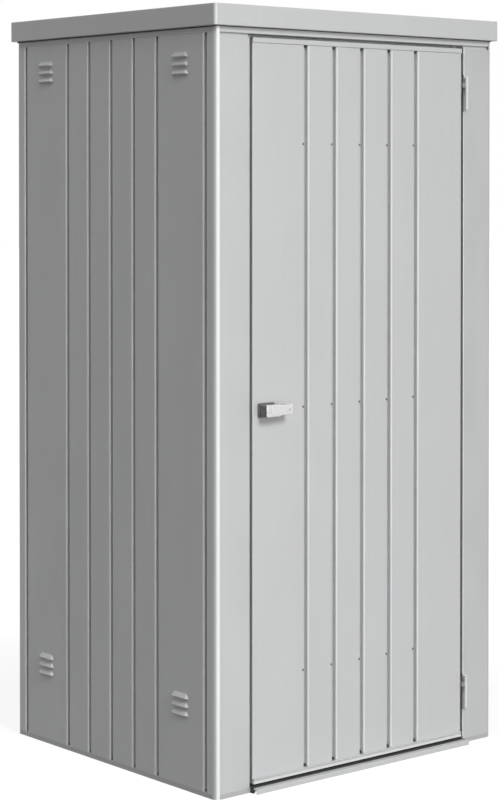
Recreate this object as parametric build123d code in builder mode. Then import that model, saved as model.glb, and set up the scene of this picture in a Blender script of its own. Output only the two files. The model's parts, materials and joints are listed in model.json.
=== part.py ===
"""Metal tool shed: a tall sheet-metal tool locker with one hinged door.

Millimetres. The origin is on the ground under the middle of the walls' footprint, +Z is up,
the door faces -Y, and +X is to the right of someone who faces the door.
"""
import os

from build123d import *

os.makedirs("parts", exist_ok=True)

# Overall size of the roof edge, and its height above the ground
roof_width = 930.0
roof_depth = 830.0
overall_height = 1825.0

# Sheet metal and general fits
sheet = 0.8
bend_radius = 2.0
fit_gap = 0.3
overrun = 6.0

# Roof edge
roof_overhang = 12.0
fascia_height = 50.0
fascia_corner_radius = 8.0
fascia_top_width = 24.0
fascia_edge_radius = 1.8
roof_groove_count = 9

# Grooves pressed into walls, door and roof
groove_pitch = 90.5
groove_half_width = 5.5
groove_bottom_half_width = 3.5
groove_depth = 12.0
groove_bottom_radius = 1.8
groove_shoulder_radius = 5.0
groove_count = 5
back_groove_count = 7
end_notch_width = 10.0
end_notch_height = 6.0

# Corner posts
post_corner_radius = 13.0
post_leg = 40.0
post_back_leg = 20.0
flange_depth = 20.0
flange_notch_play = 4.0
post_top_drop = 8.0
column_rise = 20.0

# Base and top rails
base_lip = 11.0
top_lip = 15.0
rail_web = 30.0
rail_top_flange = 12.0
lip_bend_radius = 1.0
front_stop_height = 20.0
header_tab_depth = 5.0
header_tab_drop = 32.0
header_tab_play = 2.0
header_tab_tuck = 6.0

# Floor
floor_sheet = 1.2

# Door opening, leaf and sill
opening_width = 702.0
door_side_gap = 8.0
door_bottom_gap = 7.0
door_thickness = 22.0
door_return_lip = 18.0
door_cap_height = 12.0
door_cap_rise = 2.0
door_groove_shift = 4.0
jamb_depth = 28.0
stop_lip = 14.0
sill_depth = 24.0
sill_end_play = 1.0
sill_nose_radius = 1.5
seal_setback = 3.0
seal_depth = 20.0
seal_height = 2.5

# Cross rails inside the door
cross_rail_height = 40.0
cross_rail_end_inset = 245.0

# Hinges
hinge_end_inset = 112.0
hinge_length = 80.0
hinge_barrel_radius = 4.5
hinge_pin_radius = 2.5
pin_clearance = 0.05
hinge_axis_inset = 5.0
hinge_axis_front = 6.0
hinge_knuckle_gap = 0.5
hinge_foot_half_width = 3.0
hinge_plate = 1.0
hinge_plate_reach = 18.0
hinge_strap = 2.0
hinge_strap_height = 12.0

# Louvres in the side walls
louvre_width = 60.0
louvre_height = 9.5
louvre_rise = 8.0
louvre_pitch = 20.0
louvre_rows = 3
louvre_top_drop = 70.0
louvre_base_height = 197.0

# Lock and handle
handle_height = 887.0
handle_pivot_inset = 47.0
handle_grip_width = 42.0
handle_grip_height = 28.0
handle_projection = 32.0
handle_lever_length = 38.0
handle_lever_height = 24.0
handle_lever_thickness = 11.0
handle_edge_radius = 3.0
handle_cover_thickness = 4.0
rose_margin = 3.0
rose_thickness = 5.0
rose_corner_radius = 4.0
spindle_radius = 8.0
spindle_hole_play = 1.0
lock_case_width = 66.0
lock_case_height = 84.0
lock_case_clearance = 0.4
spindle_depth = 12.0
key_radius = 4.0
key_inset = 11.0
key_depth = 6.0
key_recess = 0.4
keyway_width = 1.2

# Sizes that follow from the ones above
half_width = roof_width / 2 - roof_overhang
half_depth = roof_depth / 2 - roof_overhang
fascia_bottom = overall_height - fascia_height
top_ledge = fascia_bottom - top_lip
roof_sheet_top = overall_height - sheet
groove_reach = groove_depth + sheet
rail_top = roof_sheet_top - groove_reach
ledge_depth = groove_reach + bend_radius + fit_gap
front_ledge_depth = jamb_depth + sheet + bend_radius + fit_gap
wall_height = top_ledge - base_lip
post_top = top_ledge - post_top_drop
half_opening = opening_width / 2
half_door = half_opening - door_side_gap
door_bottom = base_lip + door_bottom_gap
door_top = post_top
front_face = -half_depth
hinge_axis_x = half_opening + hinge_axis_inset
hinge_axis_y = front_face - hinge_axis_front
handle_x = -half_opening + handle_pivot_inset
lock_case_start = -half_door + bend_radius + lock_case_clearance
lock_case_end = lock_case_start + lock_case_width

UP = Vector(0, 0, 1)
LEFT = Vector(-1, 0, 0)
RIGHT = Vector(1, 0, 0)
BACK = Vector(0, 1, 0)
FRONT = Vector(0, -1, 0)


def reach_of(outward):
    """Distance from the origin to a wall's outer face."""
    return half_width if outward.X else half_depth


def span_of(outward):
    """Half the length of a wall's outer face, corner to corner."""
    return half_depth if outward.X else half_width


def plan_plane(outward, height):
    """Level plane on a wall's outer face: x runs along the wall, y points out."""
    origin = outward * reach_of(outward) + UP * height
    return Plane(origin=origin, x_dir=outward.cross(UP), z_dir=UP)


def section_plane(outward):
    """Upright plane across a wall: x points out from the outer face, y is the height."""
    return Plane(origin=outward * reach_of(outward), x_dir=outward, z_dir=outward.cross(UP))


def face_plane(outward):
    """Plane of a wall's outer face: y is the height, z points out."""
    return Plane(origin=outward * reach_of(outward), x_dir=UP.cross(outward), z_dir=outward)


def bent_sheet(points, radii):
    """Outline of a bent sheet, whose outer face follows the points with the sheet on their left."""
    outer = [Vector(*point) for point in points]
    runs = [(end - start).normalized() for start, end in zip(outer, outer[1:])]
    normals = [Vector(-run.Y, run.X) for run in runs]
    inner = [outer[0] + normals[0] * sheet]
    inner_radii = []
    for corner, radius in enumerate(radii):
        before = normals[corner]
        after = normals[corner + 1]
        mitre = (before + after) * (sheet / (1 + before.dot(after)))
        inner.append(outer[corner + 1] + mitre)
        turns_left = runs[corner].cross(runs[corner + 1]).Z > 0
        inner_radii.append(radius - sheet if turns_left else radius + sheet)
    inner.append(outer[-1] + normals[-1] * sheet)
    with BuildLine() as outline:
        outer_line = FilletPolyline(*outer, radius=radii)
        inner_line = FilletPolyline(*inner, radius=inner_radii)
        Line(outer_line @ 0, inner_line @ 0)
        Line(outer_line @ 1, inner_line @ 1)
    make_face(outline.edges())


def groove_centres(count):
    """Centres of evenly spaced grooves about the middle, from high to low."""
    middle = (count - 1) / 2
    return [(middle - index) * groove_pitch for index in range(count)]


def grooved_points(count):
    """Points and bend radii of a row of steep grooves in a sheet whose face is at zero."""
    points = []
    radii = []
    for centre in groove_centres(count):
        points.append((centre + groove_half_width, 0))
        points.append((centre + groove_bottom_half_width, -groove_depth))
        points.append((centre - groove_bottom_half_width, -groove_depth))
        points.append((centre - groove_half_width, 0))
        radii += [groove_shoulder_radius, groove_bottom_radius]
        radii += [groove_bottom_radius, groove_shoulder_radius]
    return points, radii


def groove_bottoms(count):
    """Places of the groove bottoms in a wall's plan."""
    return [(centre, -groove_depth) for centre in groove_centres(count)]


def louvre_dome(width, height, rise):
    """Pressed louvre on the XY plane: a slope that rises to a mouth facing down, with round ends."""
    half_run = width / 2 - rise
    with BuildPart() as dome:
        with BuildSketch(Plane.YZ.offset(-half_run)):
            with BuildLine():
                Polyline((0, 0), (height, 0), (0, rise), close=True)
            make_face()
        extrude(amount=half_run * 2)
        for end in (-half_run, half_run):
            with BuildSketch():
                with BuildLine():
                    Polyline((end, 0), (end + rise, 0), (end, height), close=True)
                make_face()
            revolve(axis=Axis((end, 0, 0), (0, -1, 0)), revolution_arc=180)
    return dome.part


louvre_hood = louvre_dome(louvre_width, louvre_height, louvre_rise)
louvre_void = Pos(0, 0, -sheet) * louvre_dome(louvre_width - sheet * 2, louvre_height - sheet, louvre_rise)


def louvre_places(outward):
    """Centres of the louvres on a side wall, in the plane of its outer face."""
    wide_flat = (groove_centres(groove_count)[0] + span_of(outward) - post_leg) / 2
    rows = [(row - (louvre_rows - 1) / 2) * louvre_pitch for row in range(louvre_rows)]
    levels = (louvre_base_height, top_ledge - louvre_top_drop)
    heights = [level + row for level in levels for row in rows]
    return [(side, height) for side in (-wide_flat, wide_flat) for height in heights]


def wall_panel(outward, leg, count, has_louvres):
    """Grooved wall sheet between the legs of two posts, with a flange folded in at each end."""
    joint = span_of(outward) - leg
    points, radii = grooved_points(count)
    start = [(joint, -flange_depth), (joint, -groove_depth)]
    start += [(joint - groove_bottom_half_width, -groove_depth), (joint - groove_half_width, 0)]
    end = [(-along, out) for along, out in reversed(start)]
    ends_radii = [groove_bottom_radius, groove_bottom_radius, groove_shoulder_radius]
    notch_start = groove_reach
    notch_depth = flange_depth + overrun - notch_start
    notch_height = rail_web + flange_notch_play
    with BuildPart(face_plane(outward)) as wall:
        with BuildSketch(plan_plane(outward, base_lip)):
            bent_sheet(start + points + end, ends_radii + radii + ends_radii[::-1])
        extrude(amount=wall_height)
        for low in (base_lip, top_ledge - notch_height):
            with BuildSketch(plan_plane(outward, low)):
                with Locations((joint, -notch_start), (-joint, -notch_start)):
                    Rectangle(overrun * 2, notch_depth, align=(Align.CENTER, Align.MAX))
            extrude(amount=notch_height, mode=Mode.SUBTRACT)
        for low in (base_lip, top_ledge - end_notch_height):
            with BuildSketch(plan_plane(outward, low)):
                with Locations(*groove_bottoms(count), (joint, -groove_depth), (-joint, -groove_depth)):
                    Rectangle(end_notch_width, groove_depth * 2)
            extrude(amount=end_notch_height, mode=Mode.SUBTRACT)
        if has_louvres:
            with Locations(*louvre_places(outward)):
                add(louvre_hood)
                add(louvre_void, mode=Mode.SUBTRACT)
    return wall.part


def corner_post(ground, points, radii, flanges):
    """Post from a bent sheet, on a plane whose origin is the sharp outer corner of the building.

    Its rounded corner runs from the ground up behind the fascia. The rest stands on the base
    rail's ledge, and its flanges are cut clear of the rails.
    """
    notch_start = groove_reach
    notch_length = flange_depth + overrun - notch_start
    notch_middle = notch_start + notch_length / 2
    notch_height = rail_web + flange_notch_play
    notch_width = (sheet + fit_gap) * 2
    with BuildPart() as post:
        with BuildSketch(ground.offset(base_lip)):
            bent_sheet(points, radii)
        extrude(amount=wall_height)
        for low in (base_lip, top_ledge - notch_height):
            with BuildSketch(ground.offset(low)):
                for flange in flanges:
                    if flange == "side":
                        with Locations((notch_middle, post_leg)):
                            Rectangle(notch_length, notch_width)
                    else:
                        with Locations((post_back_leg, notch_middle)):
                            Rectangle(notch_width, notch_length)
            extrude(amount=notch_height, mode=Mode.SUBTRACT)
        with BuildSketch(ground):
            bent_sheet(points, radii)
            Rectangle(post_corner_radius, post_corner_radius, align=Align.MIN, mode=Mode.INTERSECT)
        extrude(amount=fascia_bottom + column_rise)
    return post.part


side_flange = [(flange_depth, post_leg), (groove_depth, post_leg)]
side_flange += [(groove_depth, post_leg - groove_bottom_half_width), (0, post_leg - groove_half_width)]
side_radii = [groove_bottom_radius, groove_bottom_radius, groove_shoulder_radius, post_corner_radius]


def front_post():
    """Left front post, with its door jamb and stop, and its face cut short below the header."""
    ground = Plane(origin=(-half_width, -half_depth, 0), x_dir=RIGHT, z_dir=UP)
    door_edge = half_width - half_opening
    jamb = [(0, 0), (door_edge, 0), (door_edge, jamb_depth), (door_edge + stop_lip, jamb_depth)]
    full = corner_post(ground, side_flange + jamb, side_radii + [bend_radius, bend_radius], ["side"])
    with BuildPart() as post:
        add(full)
        with BuildSketch(ground.offset(post_top)):
            with Locations((post_corner_radius, -overrun)):
                Rectangle(door_edge, overrun + sheet + bend_radius, align=Align.MIN)
        extrude(amount=post_top_drop, mode=Mode.SUBTRACT)
    return post.part


def back_post():
    """Right back post: a wide leg on the side, a narrow one on the back, and a flange on each."""
    ground = Plane(origin=(half_width, half_depth, 0), x_dir=LEFT, z_dir=UP)
    back_leg = [(0, 0), (post_back_leg, 0), (post_back_leg, flange_depth)]
    return corner_post(ground, side_flange + back_leg, side_radii + [bend_radius], ["side", "back"])


def rail(outward, points, radii):
    """Straight rail of bent sheet between the rounded corners of two posts.

    Behind their lips, the front and back rails are notched at both ends, clear of the side rails.
    """
    half_length = span_of(outward) - post_corner_radius - fit_gap
    notch = span_of(outward) - ledge_depth - sheet - fit_gap
    lip_reach = sheet + lip_bend_radius
    with BuildPart() as bar:
        with BuildSketch(section_plane(outward)):
            bent_sheet(points, radii)
        extrude(amount=half_length, both=True)
        if outward.Y:
            with BuildSketch(plan_plane(outward, 0)):
                with Locations((notch + overrun, -lip_reach), (-notch - overrun, -lip_reach)):
                    Rectangle(overrun * 2, half_depth, align=(Align.CENTER, Align.MAX))
            extrude(amount=overall_height, mode=Mode.SUBTRACT)
    return bar.part


def base_rail(outward, depth, web):
    """Rail on the ground: lip at the wall's face, ledge under the wall and web behind it."""
    points = [(0, 0), (0, base_lip), (-depth, base_lip), (-depth, base_lip + web)]
    return rail(outward, points, [lip_bend_radius, bend_radius])


def top_rail(outward, depth, web):
    """Rail over the walls: web behind the wall, ledge on its top edge, lip and roof flange."""
    points = [(-depth, top_ledge - web), (-depth, top_ledge), (0, top_ledge)]
    points += [(0, rail_top), (-rail_top_flange, rail_top)]
    return rail(outward, points, [bend_radius, lip_bend_radius, bend_radius])


def header_rail():
    """Front top rail, with a tab set back over each front post that ends behind its rounded corner."""
    bar = top_rail(FRONT, front_ledge_depth, front_stop_height)
    tab_inner = half_opening + header_tab_play
    tab_width = half_width - post_corner_radius - fit_gap + header_tab_tuck - tab_inner
    with BuildPart() as header:
        add(bar)
        with BuildSketch(plan_plane(FRONT, top_ledge - header_tab_drop)):
            for side in (-1, 1):
                with Locations((side * (tab_inner + tab_width / 2), -header_tab_depth - sheet / 2)):
                    Rectangle(tab_width, sheet)
        extrude(amount=header_tab_drop + sheet)
    return header.part


def floor_panel():
    """Floor sheet on the ground, inside the lips of the base rails and the posts' rounded corners."""
    margin = sheet + fit_gap
    with BuildPart() as panel:
        with BuildSketch():
            width = (half_width - margin) * 2
            depth = (half_depth - margin) * 2
            RectangleRounded(width, depth, post_corner_radius - margin)
        extrude(amount=floor_sheet)
    return panel.part


def roof_panel():
    """Roof sheet under the fascia's top flange, with grooves that run from front to back."""
    half_span = roof_width / 2 - sheet - fit_gap
    half_run = roof_depth / 2 - sheet - fit_gap
    points, radii = grooved_points(roof_groove_count)
    with BuildPart() as panel:
        with BuildSketch(Plane(origin=(0, 0, roof_sheet_top), x_dir=RIGHT, z_dir=FRONT)):
            bent_sheet([(half_span, 0)] + points + [(-half_span, 0)], radii)
        extrude(amount=half_run, both=True)
        fillet(panel.edges().filter_by(Axis.Z), fascia_corner_radius)
    return panel.part


def fascia_ring():
    """Roof edge all round: upright web, top flange over the roof sheet and bottom return."""
    return_width = roof_overhang - fit_gap
    rings = [
        (fascia_bottom, fascia_height, sheet),
        (overall_height - sheet, sheet, fascia_top_width),
        (fascia_bottom, sheet, return_width),
    ]
    with BuildPart() as ring:
        for low, height, width in rings:
            with BuildSketch(Plane.XY.offset(low)):
                RectangleRounded(roof_width, roof_depth, fascia_corner_radius)
                inner_width = roof_width - width * 2
                inner_depth = roof_depth - width * 2
                inner_radius = max(fascia_corner_radius - width, fit_gap)
                RectangleRounded(inner_width, inner_depth, inner_radius, mode=Mode.SUBTRACT)
            extrude(amount=height)
        for face in (ring.faces().sort_by(Axis.Z)[0], ring.faces().sort_by(Axis.Z)[-1]):
            fillet(face.outer_wire().edges(), fascia_edge_radius)
    return ring.part


def fascia_piece(ring, outward):
    """One side of the roof edge. The front and back pieces wrap round the corners."""
    wrap = fascia_corner_radius + bend_radius
    seam = roof_depth / 2 - wrap
    flange_seam = roof_depth / 2 - fascia_top_width
    with BuildPart() as piece:
        add(ring)
        with BuildSketch(Plane.XY.offset(fascia_bottom - overrun)):
            if outward.Y:
                with Locations((0, outward.Y * roof_depth / 2)):
                    Rectangle(roof_width + overrun, wrap * 2)
                    Rectangle(roof_width - wrap * 2, fascia_top_width * 2)
            else:
                with Locations((outward.X * roof_width / 2, 0)):
                    Rectangle(wrap * 2 - fit_gap, seam * 2 - fit_gap)
                    Rectangle(fascia_top_width * 2, flange_seam * 2 - fit_gap)
        extrude(amount=fascia_height + overrun * 2, mode=Mode.INTERSECT)
    return piece.part


def door_sill():
    """Folded sill in front of the base rail, open at its ends."""
    points = [(sill_depth, 0), (sill_depth, base_lip), (0, base_lip), (0, 0)]
    with BuildPart() as sill:
        with BuildSketch(section_plane(FRONT)):
            bent_sheet(points, [sill_nose_radius, bend_radius])
        extrude(amount=half_opening - sill_end_play, both=True)
    return sill.part


def sill_seal():
    """Rubber strip on the base rail's ledge under the door, between the jambs."""
    half_length = half_opening - sill_end_play
    with BuildPart() as seal:
        with BuildSketch(plan_plane(FRONT, base_lip)):
            with Locations((0, -seal_setback)):
                Rectangle(half_length * 2, seal_depth, align=(Align.CENTER, Align.MAX))
        extrude(amount=seal_height)
    return seal.part


lock_plane = Plane(origin=(handle_x, front_face, handle_height), x_dir=RIGHT, z_dir=FRONT)


def door_panel():
    """Grooved door sheet with folded sides and return lips, and a hole for the spindle."""
    lip = [(half_door - door_return_lip, -door_thickness), (half_door, -door_thickness), (half_door, 0)]
    far_lip = [(-along, out) for along, out in reversed(lip)]
    points, radii = grooved_points(groove_count)
    points = [(along - door_groove_shift, out) for along, out in points]
    bottoms = [(along - door_groove_shift, out) for along, out in groove_bottoms(groove_count)]
    with BuildPart() as panel:
        with BuildSketch(plan_plane(FRONT, door_bottom + bend_radius)):
            bent_sheet(lip + points + far_lip, [bend_radius] * 2 + radii + [bend_radius] * 2)
        extrude(amount=door_top - door_bottom - bend_radius * 2)
        for low in (door_bottom + door_cap_height, door_top - door_cap_height - end_notch_height):
            with BuildSketch(plan_plane(FRONT, low)):
                with Locations(*bottoms):
                    Rectangle(end_notch_width, groove_depth * 2)
            extrude(amount=end_notch_height, mode=Mode.SUBTRACT)
        with BuildSketch(lock_plane):
            Circle(spindle_radius + spindle_hole_play)
        extrude(amount=-groove_depth, mode=Mode.SUBTRACT)
    return panel.part


def door_cap(edge, inward):
    """Channel over the top or bottom end of the door sheet, whose front stands out and turns back in."""
    leg = edge + inward * door_cap_height
    points = [(0, leg), (door_cap_rise, leg), (door_cap_rise, edge)]
    points += [(-door_thickness - sheet, edge), (-door_thickness - sheet, leg)]
    radii = [lip_bend_radius, bend_radius, bend_radius]
    if inward > 0:
        points.reverse()
        radii.reverse()
    with BuildPart() as cap:
        with BuildSketch(section_plane(FRONT)):
            bent_sheet(points, radii)
        extrude(amount=half_door, both=True)
    return cap.part


def cross_rail(height, start):
    """Channel across the inside of the door, from the groove bottoms to the return lips."""
    web = groove_reach
    reach = door_thickness - sheet
    low = height - cross_rail_height / 2
    high = height + cross_rail_height / 2
    points = [(-reach, low), (-web, low), (-web, high), (-reach, high)]
    end = half_door - bend_radius - fit_gap
    with BuildPart() as bar:
        with BuildSketch(section_plane(FRONT).offset(-end)):
            bent_sheet(points, [bend_radius, bend_radius])
        extrude(amount=end - start)
    return bar.part


def hinge_post_half(low):
    """Lower knuckle on a foot against the post's face, with the pin that stands up from it."""
    knuckle = (hinge_length - hinge_knuckle_gap) / 2
    with BuildPart() as half:
        with BuildSketch(Plane(origin=(hinge_axis_x, hinge_axis_y, low), x_dir=RIGHT, z_dir=UP)):
            Circle(hinge_barrel_radius)
            with Locations((0, hinge_axis_front / 2)):
                Rectangle(hinge_foot_half_width * 2, hinge_axis_front)
        extrude(amount=knuckle)
        with BuildSketch(Plane(origin=(hinge_axis_x, hinge_axis_y, low), x_dir=RIGHT, z_dir=UP)):
            Circle(hinge_pin_radius)
        extrude(amount=hinge_length)
    return half.part


def hinge_door_half(low):
    """Upper knuckle, with a strap to the plate on the door's edge."""
    knuckle = (hinge_length - hinge_knuckle_gap) / 2
    axis_to_edge = hinge_axis_x - half_door
    with BuildPart() as half:
        knuckle_low = low + hinge_length - knuckle
        base = Plane(origin=(hinge_axis_x, hinge_axis_y, knuckle_low), x_dir=RIGHT, z_dir=UP)
        with BuildSketch(base):
            Circle(hinge_barrel_radius)
            with Locations((-axis_to_edge, hinge_axis_front)):
                Rectangle(hinge_plate, hinge_plate_reach, align=Align.MIN)
        extrude(amount=knuckle)
        with BuildSketch(base.offset((knuckle - hinge_strap_height) / 2)):
            with Locations((-axis_to_edge / 2, 0)):
                Rectangle(axis_to_edge, hinge_strap)
            with Locations((-axis_to_edge, -hinge_strap / 2)):
                Rectangle(hinge_plate, hinge_axis_front + hinge_plate_reach, align=Align.MIN)
        extrude(amount=hinge_strap_height)
        with BuildSketch(base):
            Circle(hinge_pin_radius + pin_clearance)
        extrude(amount=knuckle, mode=Mode.SUBTRACT)
    return half.part


def lock_rose():
    """Backing plate of the handle, seated on the door's face, with the spindle's bearing."""
    with BuildPart() as rose:
        with BuildSketch(lock_plane):
            width = handle_grip_width + rose_margin * 2
            height = handle_grip_height + rose_margin * 2
            RectangleRounded(width, height, rose_corner_radius)
            Circle(spindle_radius + pin_clearance, mode=Mode.SUBTRACT)
        extrude(amount=rose_thickness)
    return rose.part


def lock_case():
    """Closed case of the lock behind the door sheet, bored for the spindle's end."""
    depth = door_thickness - sheet * 2 - lock_case_clearance
    middle = (lock_case_start + lock_case_end) / 2 - handle_x
    with BuildPart() as case:
        with BuildSketch(lock_plane.offset(-sheet)):
            with Locations((middle, 0)):
                Rectangle(lock_case_width, lock_case_height)
        extrude(amount=-depth)
        with BuildSketch(lock_plane.offset(-sheet)):
            Circle(spindle_radius + pin_clearance)
        extrude(amount=-spindle_depth, mode=Mode.SUBTRACT)
    return case.part


def handle_lever():
    """Grip block over the rose and the lever that reaches out from its front, under the cover."""
    back = rose_thickness + fit_gap
    front = handle_projection - handle_cover_thickness
    lever_back = handle_projection - handle_lever_thickness
    lever_end = handle_grip_width / 2 + handle_lever_length
    with BuildPart() as lever:
        with BuildSketch(lock_plane.offset(back)):
            RectangleRounded(handle_grip_width, handle_grip_height, handle_edge_radius)
        extrude(amount=front - back)
        with BuildSketch(lock_plane.offset(lever_back)):
            with Locations((lever_end / 2, 0)):
                RectangleRounded(lever_end, handle_lever_height, handle_edge_radius)
        extrude(amount=front - lever_back)
        with BuildSketch(lock_plane.offset(front)):
            with Locations((lever_end - key_inset, 0)):
                Circle(key_radius + pin_clearance)
        extrude(amount=-(key_depth - handle_cover_thickness), mode=Mode.SUBTRACT)
    return lever.part


def handle_cover():
    """Cover over the front of the grip and lever, with softened edges and a hole for the key plug."""
    lever_end = handle_grip_width / 2 + handle_lever_length
    with BuildPart() as cover:
        with BuildSketch(lock_plane.offset(handle_projection - handle_cover_thickness)):
            RectangleRounded(handle_grip_width, handle_grip_height, handle_edge_radius)
            with Locations((lever_end / 2, 0)):
                RectangleRounded(lever_end, handle_lever_height, handle_edge_radius)
        extrude(amount=handle_cover_thickness)
        fillet(cover.faces().sort_by(Axis.Y)[0].outer_wire().edges(), handle_edge_radius / 2)
        with BuildSketch(lock_plane.offset(handle_projection)):
            with Locations((lever_end - key_inset, 0)):
                Circle(key_radius + pin_clearance)
        extrude(amount=-handle_cover_thickness, mode=Mode.SUBTRACT)
    return cover.part


def spindle():
    """Round spindle from the back of the grip through the rose and the door into the lock."""
    back = rose_thickness + fit_gap
    with BuildPart() as shaft:
        with BuildSketch(lock_plane.offset(back)):
            Circle(spindle_radius)
        extrude(amount=-(back + sheet + spindle_depth - fit_gap))
    return shaft.part


def key_cylinder():
    """Keyed plug in the end of the lever, with its keyway."""
    lever_end = handle_grip_width / 2 + handle_lever_length
    floor = handle_projection - key_depth
    with BuildPart() as plug:
        with BuildSketch(lock_plane.offset(floor)):
            with Locations((lever_end - key_inset, 0)):
                Circle(key_radius)
        extrude(amount=key_depth - key_recess)
        with BuildSketch(lock_plane.offset(handle_projection)):
            with Locations((lever_end - key_inset, 0)):
                Rectangle(keyway_width, key_radius)
        extrude(amount=-(key_depth / 2), mode=Mode.SUBTRACT)
    return plug.part


def mirrored(part):
    """The same piece on the other side of the building."""
    with BuildPart() as twin:
        mirror(part, about=Plane.YZ)
    return twin.part


pieces = {}
pieces["floor_panel"] = floor_panel()
pieces["base_rail_left"] = base_rail(LEFT, ledge_depth, rail_web)
pieces["base_rail_right"] = base_rail(RIGHT, ledge_depth, rail_web)
pieces["base_rail_back"] = base_rail(BACK, ledge_depth, rail_web)
pieces["base_rail_front"] = base_rail(FRONT, front_ledge_depth, front_stop_height)
pieces["door_sill"] = door_sill()
pieces["sill_seal"] = sill_seal()
pieces["front_left_post"] = front_post()
pieces["front_right_post"] = mirrored(pieces["front_left_post"])
pieces["back_right_post"] = back_post()
pieces["back_left_post"] = mirrored(pieces["back_right_post"])
pieces["left_wall"] = wall_panel(LEFT, post_leg, groove_count, True)
pieces["right_wall"] = wall_panel(RIGHT, post_leg, groove_count, True)
pieces["back_wall"] = wall_panel(BACK, post_back_leg, back_groove_count, False)
pieces["top_rail_left"] = top_rail(LEFT, ledge_depth, rail_web)
pieces["top_rail_right"] = top_rail(RIGHT, ledge_depth, rail_web)
pieces["top_rail_back"] = top_rail(BACK, ledge_depth, rail_web)
pieces["header_rail"] = header_rail()
pieces["roof_panel"] = roof_panel()
roof_edge = fascia_ring()
for fascia_side, outward in (("front", FRONT), ("back", BACK), ("left", LEFT), ("right", RIGHT)):
    pieces[f"fascia_{fascia_side}"] = fascia_piece(roof_edge, outward)
for level, door_end, inward in (("upper", door_top, -1), ("lower", door_bottom, 1)):
    hinge_low = door_end + inward * hinge_end_inset - hinge_length / 2
    pieces[f"{level}_hinge_post_half"] = hinge_post_half(hinge_low)
    pieces[f"{level}_hinge_door_half"] = hinge_door_half(hinge_low)
pieces["door_panel"] = door_panel()
pieces["door_top_cap"] = door_cap(door_top, -1)
pieces["door_bottom_cap"] = door_cap(door_bottom, 1)
door_edge_inside = -half_door + bend_radius + fit_gap
for level, door_end, inward in (("upper", door_top, -1), ("lower", door_bottom, 1)):
    rail_height = door_end + inward * cross_rail_end_inset
    pieces[f"door_{level}_cross_rail"] = cross_rail(rail_height, door_edge_inside)
pieces["door_middle_cross_rail"] = cross_rail(handle_height, lock_case_end + fit_gap)
pieces["lock_rose"] = lock_rose()
pieces["lock_case"] = lock_case()
pieces["handle_lever"] = handle_lever()
pieces["handle_cover"] = handle_cover()
pieces["handle_spindle"] = spindle()
pieces["key_cylinder"] = key_cylinder()

for name, piece in pieces.items():
    piece.label = name
    export_step(piece, f"parts/{name}.step")
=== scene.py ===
"""Looks of the metal tool shed: paints, plating, small trim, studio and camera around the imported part.

Metres, in the part's own frame: +Z up, the door faces -Y.
"""
import json
from math import cos, pi, radians, sin

import bmesh
import bpy
from mathutils import Matrix, Vector


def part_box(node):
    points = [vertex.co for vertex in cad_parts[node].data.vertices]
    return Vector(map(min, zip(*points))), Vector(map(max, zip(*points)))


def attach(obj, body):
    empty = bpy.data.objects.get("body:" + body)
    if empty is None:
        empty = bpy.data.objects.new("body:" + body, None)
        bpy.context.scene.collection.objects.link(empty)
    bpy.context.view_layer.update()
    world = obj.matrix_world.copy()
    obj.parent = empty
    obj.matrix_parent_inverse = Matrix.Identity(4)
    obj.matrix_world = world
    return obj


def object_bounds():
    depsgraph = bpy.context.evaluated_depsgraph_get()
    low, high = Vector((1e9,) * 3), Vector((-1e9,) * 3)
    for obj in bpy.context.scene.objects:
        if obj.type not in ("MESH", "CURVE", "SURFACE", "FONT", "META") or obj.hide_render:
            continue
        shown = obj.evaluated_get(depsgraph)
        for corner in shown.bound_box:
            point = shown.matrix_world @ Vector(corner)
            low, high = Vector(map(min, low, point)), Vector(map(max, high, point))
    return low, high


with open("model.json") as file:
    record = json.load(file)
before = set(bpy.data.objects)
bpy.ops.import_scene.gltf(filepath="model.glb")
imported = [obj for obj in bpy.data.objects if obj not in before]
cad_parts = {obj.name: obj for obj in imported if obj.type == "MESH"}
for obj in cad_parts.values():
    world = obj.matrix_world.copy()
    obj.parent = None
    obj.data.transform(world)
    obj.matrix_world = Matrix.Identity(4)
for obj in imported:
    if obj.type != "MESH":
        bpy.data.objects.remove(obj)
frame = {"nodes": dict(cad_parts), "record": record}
cad_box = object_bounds()
nodes = frame["nodes"]

# Camera: angles in degrees, rows and columns in the photograph's 499 x 800 pixels
image_width = 499
image_height = 800
sensor_width = 36.0
focal_pixels = 2185.0
camera_place = (-3.600, -4.265, 1.421)
camera_yaw = 40.08
camera_pitch = -1.0
axis_row = 218.6
axis_column = 250.2

# Colours, written as linear values
silver = (0.56, 0.565, 0.57)
# Darker silver on the base rails: painted shade along the foot of the walls
base_silver_painted_shade = (0.43, 0.435, 0.44)
zinc = (0.72, 0.72, 0.72)
# Dark grey on the hinges' leaves in the door gap: painted shade of the gap
leaf_painted_shade = (0.30, 0.30, 0.30)
galvanised_grey = (0.55, 0.56, 0.57)
handle_white = (0.93, 0.93, 0.93)
lock_grey = (0.42, 0.42, 0.43)
handle_grey = (0.16, 0.16, 0.165)
rubber_black = (0.03, 0.03, 0.03)
floor_bounce = (0.05, 0.05, 0.05)

# Finishes: each roughness is a range that a pattern moves through
sheet_roughness = (0.58, 0.70)
post_roughness = (0.40, 0.50)
hinge_roughness = (0.46, 0.58)
galvanised_roughness = (0.30, 0.52)
lacquer_roughness = (0.24, 0.34)
rubber_roughness = (0.70, 0.88)
lock_roughness = (0.32, 0.48)
paint_metallic = 0.12
hinge_metallic = 0.05
galvanised_metallic = 0.7
lacquer_metallic = 0.1
lock_metallic = 0.85
coat_weight = 0.5
coat_roughness = 0.32
noise_middle = (0.3, 0.7)
whole_range = (0.0, 1.0)
drawn_fine = (1, 1, 0.03)
drawn_brushed = (1, 1, 0.04)
drawn_soft = (1, 1, 0.3)
drawn_wave = (1, 1, 0.35)

# Along X, where the painted shade on a hinge's leaf ends and its pale knuckle starts
knuckle_edge = 0.3514
leaf_blend = 0.0003

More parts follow.
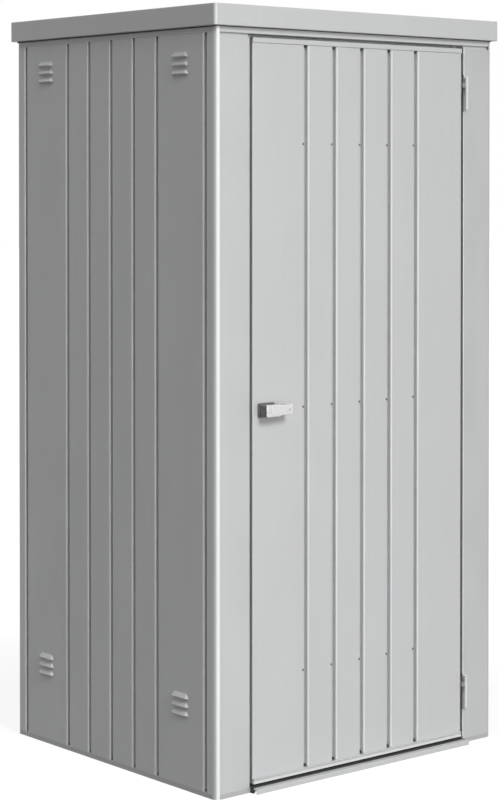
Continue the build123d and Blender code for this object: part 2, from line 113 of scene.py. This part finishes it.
# Studio light: angles in degrees
ambient = 0.10
key_azimuth = -2.0
key_elevation = 35.0
key_spread = 22.0
key_strength = 2.08
overhead_azimuth = -80.0
overhead_elevation = 56.0
overhead_spread = 40.0
overhead_strength = 0.675
card_azimuth = -9.0
card_elevation = 0.0
card_distance = 8.0
card_size = (10.9, 10.9)
card_power = 1480.0
floor_radius = 40.0
floor_segments = 64
floor_drop = 0.0003
floor_glow = 0.86
floor_shade = 0.22
near_floor = 0.7
far_floor = 2.2


# Shader helpers

def fill(tree, node, inputs):
    """Set inputs of a node, by name or number: each to a constant or to another node's output."""
    for name, value in inputs.items():
        if isinstance(value, bpy.types.NodeSocket):
            tree.links.new(value, node.inputs[name])
        else:
            node.inputs[name].default_value = value


def add(tree, kind, inputs=None, **settings):
    """New shader node with its settings and inputs."""
    node = tree.nodes.new(kind)
    for name, value in settings.items():
        setattr(node, name, value)
    fill(tree, node, inputs or {})
    return node


def empty_tree(owner):
    """Node tree of a material or world, cleared."""
    owner.use_nodes = True
    owner.node_tree.nodes.clear()
    return owner.node_tree


def new_material(name):
    """Node material, its tree and its principled shader, linked to the output."""
    material = bpy.data.materials.new(name)
    tree = empty_tree(material)
    shader = add(tree, "ShaderNodeBsdfPrincipled")
    add(tree, "ShaderNodeOutputMaterial", {"Surface": shader.outputs["BSDF"]})
    return material, tree, shader


def own_place(tree):
    """Place of the shaded point in the piece's own coordinates."""
    return add(tree, "ShaderNodeTexCoord").outputs["Object"]


def noise(tree, scale, stretch=(1, 1, 1), detail=2.0):
    """Noise in the piece's own coordinates, between 0 and 1."""
    mapped = add(tree, "ShaderNodeMapping", {"Vector": own_place(tree), "Scale": stretch})
    inputs = {"Vector": mapped.outputs["Vector"], "Scale": scale, "Detail": detail}
    return add(tree, "ShaderNodeTexNoise", inputs).outputs["Fac"]


def spread(tree, value, low, high, source=noise_middle):
    """The value taken from its source range to the range from low to high."""
    inputs = {"Value": value, "From Min": source[0], "From Max": source[1], "To Min": low, "To Max": high}
    return add(tree, "ShaderNodeMapRange", inputs).outputs["Result"]


def maths(tree, operation, first, second):
    """Sum, product or other result of two values."""
    return add(tree, "ShaderNodeMath", {0: first, 1: second}, operation=operation).outputs["Value"]


def tinted(tree, colour, factor):
    """The colour made darker or lighter by a factor around 1."""
    scaled = add(tree, "ShaderNodeVectorMath", {0: colour, "Scale": factor}, operation="SCALE")
    return scaled.outputs["Vector"]


def mixed(tree, factor, first, second):
    """Colour between two others, by socket numbers: the node's names repeat for each data type."""
    return add(tree, "ShaderNodeMix", {0: factor, 6: first, 7: second}, data_type="RGBA").outputs[2]


def bumped(tree, height, distance, strength, normal=None):
    """Normal tilted by a height field, on top of another normal if there is one."""
    inputs = {"Height": height, "Distance": distance, "Strength": strength}
    if normal:
        inputs["Normal"] = normal
    return add(tree, "ShaderNodeBump", inputs).outputs["Normal"]


# Materials

def painted_sheet(name, colour, roughness):
    """Satin metallic paint on sheet: flakes, faint clouds and drawn streaks, orange peel and waviness."""
    material, tree, shader = new_material(name)
    flakes = spread(tree, noise(tree, scale=1900, detail=1.0), low=0.975, high=1.025)
    clouds = spread(tree, noise(tree, scale=2.6, detail=3.0), low=0.985, high=1.015)
    streaks = spread(tree, noise(tree, scale=60, stretch=drawn_fine), low=0.992, high=1.008)
    tone = maths(tree, "MULTIPLY", maths(tree, "MULTIPLY", flakes, clouds), streaks)
    waves = bumped(tree, noise(tree, scale=5, stretch=drawn_wave, detail=1.0), distance=0.004, strength=0.10)
    peel = bumped(tree, noise(tree, scale=520, detail=1.0), distance=0.0002, strength=0.10, normal=waves)
    fill(tree, shader, {
        "Base Color": tinted(tree, colour, tone),
        "Roughness": spread(tree, noise(tree, scale=14, stretch=drawn_soft, detail=4.0), *roughness),
        "Normal": peel,
        "Metallic": paint_metallic,
        "Coat Weight": coat_weight,
        "Coat Roughness": coat_roughness,
    })
    return material


def plated(name, colour, roughness, metallic):
    """Dull zinc plating: fine brushed lines, blotches and uneven gloss."""
    material, tree, shader = new_material(name)
    lines = spread(tree, noise(tree, scale=300, stretch=drawn_brushed, detail=3.0), low=0.93, high=1.07)
    blotches = spread(tree, noise(tree, scale=40, detail=3.0), low=0.94, high=1.06)
    fill(tree, shader, {
        "Base Color": tinted(tree, colour, maths(tree, "MULTIPLY", lines, blotches)),
        "Roughness": spread(tree, noise(tree, scale=120, detail=3.0), *roughness),
        "Normal": bumped(tree, lines, distance=0.0001, strength=0.15),
        "Metallic": metallic,
    })
    return material


def hinge_zinc(name, colour, leaf_shade_colour):
    """Pale zinc on the knuckles, and painted shade on the leaf in the gap beside the door: a dark grey that
    stands in for the gap's shade.
    """
    material, tree, shader = new_material(name)
    blotches = spread(tree, noise(tree, scale=60, detail=3.0), low=0.95, high=1.05)
    across = add(tree, "ShaderNodeSeparateXYZ", {"Vector": own_place(tree)}).outputs["X"]
    knuckle = spread(tree, across, low=0.0, high=1.0, source=(knuckle_edge - leaf_blend, knuckle_edge))
    # Painted shade: the leaf in the door gap is darkened to stand in for the gap's shade
    leaf_shade_tone = tinted(tree, leaf_shade_colour, blotches)
    knuckle_tone = tinted(tree, colour, blotches)
    fill(tree, shader, {
        "Base Color": mixed(tree, knuckle, leaf_shade_tone, knuckle_tone),
        "Roughness": spread(tree, noise(tree, scale=120, detail=3.0), *hinge_roughness),
        "Normal": bumped(tree, noise(tree, scale=400), distance=0.0001, strength=0.15),
        "Metallic": hinge_metallic,
    })
    return material


def galvanised(name, colour):
    """Galvanised sheet with its flat crystals."""
    material, tree, shader = new_material(name)
    crystals = add(tree, "ShaderNodeTexVoronoi", {"Vector": own_place(tree), "Scale": 90.0}, feature="F1")
    cell = add(tree, "ShaderNodeSeparateColor", {"Color": crystals.outputs["Color"]}).outputs["Red"]
    tone = spread(tree, cell, low=0.88, high=1.12, source=whole_range)
    clouds = spread(tree, noise(tree, scale=8, detail=3.0), low=0.95, high=1.05)
    fill(tree, shader, {
        "Base Color": tinted(tree, colour, maths(tree, "MULTIPLY", tone, clouds)),
        "Roughness": spread(tree, cell, *galvanised_roughness, source=whole_range),
        "Normal": bumped(tree, noise(tree, scale=30), distance=0.001, strength=0.06),
        "Metallic": galvanised_metallic,
    })
    return material


def lacquered(name, colour):
    """Satin lacquer on a casting: faint mottling and a soft uneven skin."""
    material, tree, shader = new_material(name)
    mottle = spread(tree, noise(tree, scale=220, detail=3.0), low=0.975, high=1.015)
    fill(tree, shader, {
        "Base Color": tinted(tree, colour, mottle),
        "Roughness": spread(tree, noise(tree, scale=90), *lacquer_roughness),
        "Normal": bumped(tree, noise(tree, scale=700), distance=0.0002, strength=0.12),
        "Metallic": lacquer_metallic,
    })
    return material


def rubbery(name, colour):
    """Matt rubber with dusty patches and a fine grain."""
    material, tree, shader = new_material(name)
    dust = spread(tree, noise(tree, scale=35, detail=4.0), low=0.85, high=1.25)
    fill(tree, shader, {
        "Base Color": tinted(tree, colour, dust),
        "Roughness": spread(tree, noise(tree, scale=160), *rubber_roughness),
        "Normal": bumped(tree, noise(tree, scale=900), distance=0.0002, strength=0.2),
    })
    return material


def dress(piece, material):
    """Give the piece one material."""
    piece.data.materials.clear()
    piece.data.materials.append(material)


paints = {
    "silver_paint": painted_sheet("silver_paint_sheet", silver, sheet_roughness),
    "hinge_metal": hinge_zinc("pale_zinc_painted_shade", zinc, leaf_painted_shade),
    "galvanised_inside": galvanised("galvanised_sheet", galvanised_grey),
    "handle_white": lacquered("white_lacquer", handle_white),
    "handle_grey": lacquered("grey_lacquer", handle_grey),
    "seal_rubber": rubbery("black_rubber", rubber_black),
    "lock_steel": plated("dull_zinc", lock_grey, lock_roughness, lock_metallic),
}
post_paint = painted_sheet("silver_paint_posts", silver, post_roughness)
base_paint_with_painted_shade = painted_sheet("silver_paint_base_painted_shade", base_silver_painted_shade, sheet_roughness)
for part in frame["record"]["subparts"]:
    node = part["node"]
    paint = paints[part["material_slot"]]
    # The base rails take the darker silver: painted shade along the foot of the walls
    if node.startswith("base_rail"):
        paint = base_paint_with_painted_shade
    if node.endswith("_post"):
        paint = post_paint
    dress(nodes[node], paint)


# Mesh helpers

lathe_steps = 20
sharp_angle = 35.0


def lathe(mesh, profile, place):
    """Turn a profile of (radius, height) points about the Z axis of a place, with its ends on the axis."""
    angles = [2 * pi * step / lathe_steps for step in range(lathe_steps)]
    rings = []
    for radius, height in profile:
        points = [(radius * cos(a), radius * sin(a), height) for a in angles]
        if radius == 0:
            points = [(0, 0, height)]
        rings.append([mesh.verts.new(place @ Vector(point)) for point in points])
    for low, high in zip(rings, rings[1:]):
        for step in range(lathe_steps):
            after = (step + 1) % lathe_steps
            if len(high) == 1:
                mesh.faces.new((low[step], low[after], high[0]))
            elif len(low) == 1:
                mesh.faces.new((low[0], high[after], high[step]))
            else:
                mesh.faces.new((low[step], low[after], high[after], high[step]))


def joined(mesh, rings):
    """Skin through closed rings of the same number of points."""
    count = len(rings[0])
    for first, second in zip(rings, rings[1:]):
        for index in range(count):
            after = (index + 1) % count
            mesh.faces.new((first[index], first[after], second[after], second[index]))


def capped(mesh, rings):
    """Skin through rings, closed at both ends."""
    joined(mesh, rings)
    mesh.faces.new(rings[0])
    mesh.faces.new(rings[-1][::-1])


def bar(mesh, section, start, end, place):
    """Straight bar along the X axis of a place, with a section of (y, z) points."""
    capped(mesh, [[mesh.verts.new(place @ Vector((x, y, z))) for y, z in section] for x in (start, end)])


def facing(place, outward):
    """Frame at a place whose Z axis points outward."""
    turn = Vector(outward).to_track_quat("Z", "Y").to_matrix().to_4x4()
    return Matrix.Translation(place) @ turn


def middle_of(node):
    """Middle of a node's box."""
    low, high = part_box(node)
    return (low + high) / 2


def made(name, body, slot, shape):
    """One piece whose mesh is filled by a function, riding on a body."""
    mesh = bmesh.new()
    shape(mesh)
    bmesh.ops.recalc_face_normals(mesh, faces=mesh.faces)
    data = bpy.data.meshes.new(name)
    mesh.to_mesh(data)
    mesh.free()
    piece = bpy.data.objects.new(name, data)
    bpy.context.scene.collection.objects.link(piece)
    for polygon in data.polygons:
        polygon.use_smooth = True
    data.set_sharp_from_angle(angle=radians(sharp_angle))
    dress(piece, paints[slot])
    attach(piece, body)


# Outer faces of the solids that the trim sits on
door_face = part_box("front_left_post")[0].y
wall_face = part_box("front_right_post")[1].x
back_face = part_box("back_wall")[1].y


# Rivets on the door: the profile's points are shares of the radius and the rise

rivet_radius = 0.0030
rivet_rise = 0.0014
rivet_profile = [(0, -0.3), (1, -0.3), (1, 0.2), (0.86, 0.7), (0.58, 1), (0.36, 1)]
rivet_profile += [(0.30, 0.55), (0.12, 0.62), (0, 0.66)]
rivet_offset = 0.0098
groove_count = 5
groove_pitch = 0.0905
door_groove_shift = 0.004


def rivet(mesh, place):
    """Blind rivet: domed rim round the dimple of its broken pin."""
    lathe(mesh, [(rivet_radius * out, rivet_rise * up) for out, up in rivet_profile], place)


def door_rivets(mesh):
    """Rivets beside the door's grooves, at the cross rails inside."""
    for level in ("upper", "middle", "lower"):
        height = middle_of(f"door_{level}_cross_rail").z
        for index in range(groove_count):
            groove = (index - (groove_count - 1) / 2) * groove_pitch + door_groove_shift
            rivet(mesh, facing((groove - rivet_offset, door_face, height), (0, -1, 0)))


made("door_rivets", "door", "handle_grey", door_rivets)


# Louvres

louvre_half_run = 0.022
louvre_rise = 0.008
louvre_groups = (0.197, 1.690)
louvre_pitch = 0.020
louvre_middle = 0.272
lip_sheet = 0.0008
lip_drop = 0.0038
lip_tuck = 0.0042
lip_steps = 5
arc_steps = 8


def quarter_turn(steps):
    """Angles from 0 to a quarter turn."""
    return [step / steps * pi / 2 for step in range(steps + 1)]


def louvre_lip(mesh, place):
    """Edge of a louvre's mouth, rolled down and in towards the wall, along the mouth's outline."""
    angles = quarter_turn(lip_steps)
    inner_tuck = lip_tuck - lip_sheet
    inner_drop = lip_drop - lip_sheet
    outer = [(-lip_tuck * (1 - cos(a)), -lip_drop * sin(a)) for a in angles]
    inner = [(-lip_sheet - inner_tuck * (1 - cos(a)), -inner_drop * sin(a)) for a in angles]
    section = outer + inner[::-1]
    path = [(louvre_half_run, bend) for bend in quarter_turn(arc_steps)]
    path += [(-louvre_half_run, pi / 2 + bend) for bend in quarter_turn(arc_steps)]
    rings = []
    for centre, angle in path:
        ring = []
        for out, up in section:
            reach = louvre_rise + out
            point = Vector((centre + reach * cos(angle), up, reach * sin(angle)))
            ring.append(mesh.verts.new(place @ point))
        rings.append(ring)
    capped(mesh, rings)


def louvre_lips(mesh):
    """Lips of all louvres on the side walls, in frames with X along the wall, Y up and Z outward."""
    for side in (-1, 1):
        turn = Matrix(((0, 0, side), (side, 0, 0), (0, 1, 0))).to_4x4()
        for along in (-louvre_middle, louvre_middle):
            for group in louvre_groups:
                for row in (-1, 0, 1):
                    place = (side * wall_face, along, group + row * louvre_pitch)
                    louvre_lip(mesh, Matrix.Translation(place) @ turn)


made("louvre_lips", "shed", "silver_paint", louvre_lips)


# Drip edge, dark rubber pieces of painted shade and hinge leaves: sections are (y, z) points, and -Y points
# out
# The roof bead's section has (out, up) points instead

drip_section = [(0.0004, 0.0130), (-0.0022, 0.0130), (-0.0028, 0.0125), (-0.0028, 0.0120), (-0.0003, 0.0062)]
drip_section += [(-0.0034, 0.0020), (-0.0035, 0.0014), (-0.0030, 0.0009), (0.0004, 0.0008)]
drip_end = 0.001
# Black rubber blocks at the sill's ends and a strip on the sill: painted shade in the door's lower gap
corner_shade_section = [(-0.0002, 0.0004), (-0.0107, 0.0004), (-0.0117, 0.0014)]
corner_shade_section += [(-0.0117, 0.0104), (-0.0107, 0.0114), (-0.0002, 0.0114)]
corner_shade_width = 0.005
corner_shade_play = 0.0006
sill_strip_section = [(0.0020, 0.0), (-0.0068, 0.0), (-0.0068, 0.0008), (-0.0060, 0.0016), (0.0020, 0.0018)]
# Black rubber bead under the roof edge: painted shade, standing in for the shadow line under it
roof_shade_section = [(0.0, -0.0001), (0.0030, -0.0001), (0.0036, -0.0012)]
roof_shade_section += [(0.0033, -0.0024), (0.0020, -0.0032), (0.0, -0.0034)]
roof_shade_front_share = 0.5
post_corner_radius = 0.0130
corner_steps = 8
leaf_section = [(-0.0006, 0.0045), (-0.0006, -0.0004), (-0.0002, -0.0008)]
leaf_section += [(0.0018, -0.0008), (0.0018, -0.0001), (-0.0001, 0.0016), (-0.0001, 0.0045)]
leaf_overrun = 0.006
hinge_axis_inset = 0.005


def drip_edge(mesh):
    """Bead and sloping nose along the door's lower cap."""
    low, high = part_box("door_bottom_cap")
    bar(mesh, drip_section, low.x + drip_end, high.x - drip_end, Matrix.Translation((0, low.y, low.z)))


def sill_painted_shade(mesh):
    """Black rubber strip along the back of the sill, and blocks between its ends and the posts' feet:
    painted shade, standing in for the shade under the door and in the gaps at the sill's ends.
    """
    low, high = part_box("door_sill")
    inner = corner_shade_width - corner_shade_play
    bar(mesh, sill_strip_section, low.x + inner, high.x - inner, Matrix.Translation((0, door_face, high.z)))
    foot = Matrix.Translation((0, door_face, 0))
    bar(mesh, corner_shade_section, low.x - corner_shade_play, low.x + inner, foot)
    bar(mesh, corner_shade_section, high.x - inner, high.x + corner_shade_play, foot)


def roof_shade_bead(mesh):
    """Black rubber bead under the roof edge, all round the walls and thinner along the front: painted shade,
    a dark line standing in for the shadow under the roof edge.
    """
    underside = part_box("fascia_left")[0].z
    rings = []
    for corner in range(4):
        along = (wall_face - post_corner_radius) * (1 if corner in (0, 3) else -1)
        across = (back_face - post_corner_radius) * (1 if corner in (0, 1) else -1)
        for step in range(corner_steps + 1):
            angle = (corner + step / corner_steps) * pi / 2
            share = 1 - (1 - roof_shade_front_share) * max(0, -sin(angle))
            ring = []
            for out, up in roof_shade_section:
                reach = post_corner_radius + out
                place = (along + reach * cos(angle), across + reach * sin(angle), underside + up * share)
                ring.append(mesh.verts.new(place))
            rings.append(ring)
    joined(mesh, rings + rings[:1])


def hinge_leaves(mesh):
    """Leaf of each hinge's fixed half, folded round the corner of the door jamb, upright along Z; its edge
    in the door gap takes the hinge material's painted shade, standing in for the gap's shade.
    """
    upright = Matrix(((0, 1, 0), (0, 0, 1), (1, 0, 0))).to_4x4()
    for level in ("upper", "lower"):
        low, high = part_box(f"{level}_hinge_post_half")
        corner = Matrix.Translation(((low.x + high.x) / 2 - hinge_axis_inset, door_face, 0))
        bar(mesh, leaf_section, low.z - leaf_overrun, high.z + leaf_overrun, corner @ upright)


made("door_drip_edge", "door", "silver_paint", drip_edge)
made("sill_painted_shade", "shed", "seal_rubber", sill_painted_shade)
made("roof_edge_painted_shade", "shed", "seal_rubber", roof_shade_bead)
made("hinge_leaves", "shed", "hinge_metal", hinge_leaves)


# Studio

def seen_rays(tree):
    """1 for what is seen directly, in a reflection or through glass, and 0 for light that bounces."""
    rays = add(tree, "ShaderNodeLightPath").outputs
    seen = maths(tree, "MAXIMUM", rays["Is Camera Ray"], rays["Is Glossy Ray"])
    return maths(tree, "MAXIMUM", seen, rays["Is Transmission Ray"])


def floor_material():
    """Floor that looks white and keeps a soft shadow, and bounces little light back at the shed."""
    material = bpy.data.materials.new("studio_floor")
    tree = empty_tree(material)
    far = add(tree, "ShaderNodeVectorMath", {0: own_place(tree)}, operation="LENGTH").outputs["Value"]
    fade = {"Value": far, "From Min": near_floor, "From Max": far_floor, "To Min": floor_glow, "To Max": 1.0}
    strength = add(tree, "ShaderNodeMapRange", fade, interpolation_type="SMOOTHSTEP").outputs["Result"]
    glow = add(tree, "ShaderNodeEmission", {"Strength": strength}).outputs[0]
    shade = add(tree, "ShaderNodeBsdfDiffuse", {"Color": (floor_shade,) * 3 + (1,)}).outputs[0]
    bright = add(tree, "ShaderNodeAddShader", {0: glow, 1: shade}).outputs[0]
    plain = add(tree, "ShaderNodeBsdfDiffuse", {"Color": floor_bounce + (1,)}).outputs[0]
    surface = add(tree, "ShaderNodeMixShader", {0: seen_rays(tree), 1: plain, 2: bright}).outputs[0]
    add(tree, "ShaderNodeOutputMaterial", {"Surface": surface})
    return material


def studio_floor():
    """Wide round floor under the shed."""
    mesh = bmesh.new()
    bmesh.ops.create_circle(mesh, cap_ends=True, segments=floor_segments, radius=floor_radius)
    data = bpy.data.meshes.new("floor")
    mesh.to_mesh(data)
    mesh.free()
    floor = bpy.data.objects.new("floor", data)
    floor.location.z = -floor_drop
    bpy.context.scene.collection.objects.link(floor)
    floor.visible_glossy = False
    floor.visible_shadow = False
    dress(floor, floor_material())


def studio_world():
    """Even ambient light, seen as white by the camera and in reflections."""
    world = bpy.data.worlds.new("studio")
    bpy.context.scene.world = world
    tree = empty_tree(world)
    strength = spread(tree, seen_rays(tree), low=ambient, high=1.0, source=whole_range)
    white = {"Color": (1, 1, 1, 1), "Strength": strength}
    background = add(tree, "ShaderNodeBackground", white)
    add(tree, "ShaderNodeOutputWorld", {"Surface": background.outputs["Background"]})


def around(azimuth, elevation, distance, target):
    """Point at a distance from a target; azimuth 0 is in front of the door, and 90 on its right."""
    a, e = radians(azimuth), radians(elevation)
    return Vector(target) + Vector((sin(a) * cos(e), -cos(a) * cos(e), sin(e))) * distance


def area_lamp(name, place, target, size, power):
    """Soft rectangular lamp aimed at a target."""
    data = bpy.data.lights.new(name, "AREA")
    data.shape = "RECTANGLE"
    data.size, data.size_y = size
    data.energy = power
    lamp = bpy.data.objects.new(name, data)
    lamp.location = place
    lamp.rotation_euler = (Vector(target) - Vector(place)).to_track_quat("-Z", "Y").to_euler()
    lamp.visible_camera = False
    bpy.context.scene.collection.objects.link(lamp)
    return lamp


def sun_lamp(name, azimuth, elevation, width, strength):
    """Even light from one direction, softened as from a lamp of that angular width far away."""
    data = bpy.data.lights.new(name, "SUN")
    data.angle = radians(width)
    data.energy = strength
    lamp = bpy.data.objects.new(name, data)
    toward = around(azimuth, elevation, 1, (0, 0, 0))
    lamp.rotation_euler = toward.to_track_quat("Z", "Y").to_euler()
    bpy.context.scene.collection.objects.link(lamp)


low, high = cad_box
centre = (low + high) / 2
studio_floor()
studio_world()
sun_lamp("key", key_azimuth, key_elevation, key_spread, key_strength)
sun_lamp("overhead", overhead_azimuth, overhead_elevation, overhead_spread, overhead_strength)

# The card is a reflector that shows only in the paint's gloss
card_place = around(card_azimuth, card_elevation, card_distance, centre)
card = area_lamp("card", card_place, centre, card_size, card_power)
card.visible_diffuse = False

camera_data = bpy.data.cameras.new("camera")
camera_data.sensor_width = sensor_width
camera_data.lens = focal_pixels * sensor_width / image_height
camera_data.shift_x = (image_width / 2 - axis_column) / image_height
camera_data.shift_y = (axis_row - image_height / 2) / image_height
camera = bpy.data.objects.new("camera", camera_data)
camera.location = camera_place
camera.rotation_euler = (radians(90 + camera_pitch), 0, radians(-camera_yaw))
bpy.context.scene.collection.objects.link(camera)
bpy.context.scene.camera = camera
bpy.context.scene.view_settings.view_transform = "Standard"
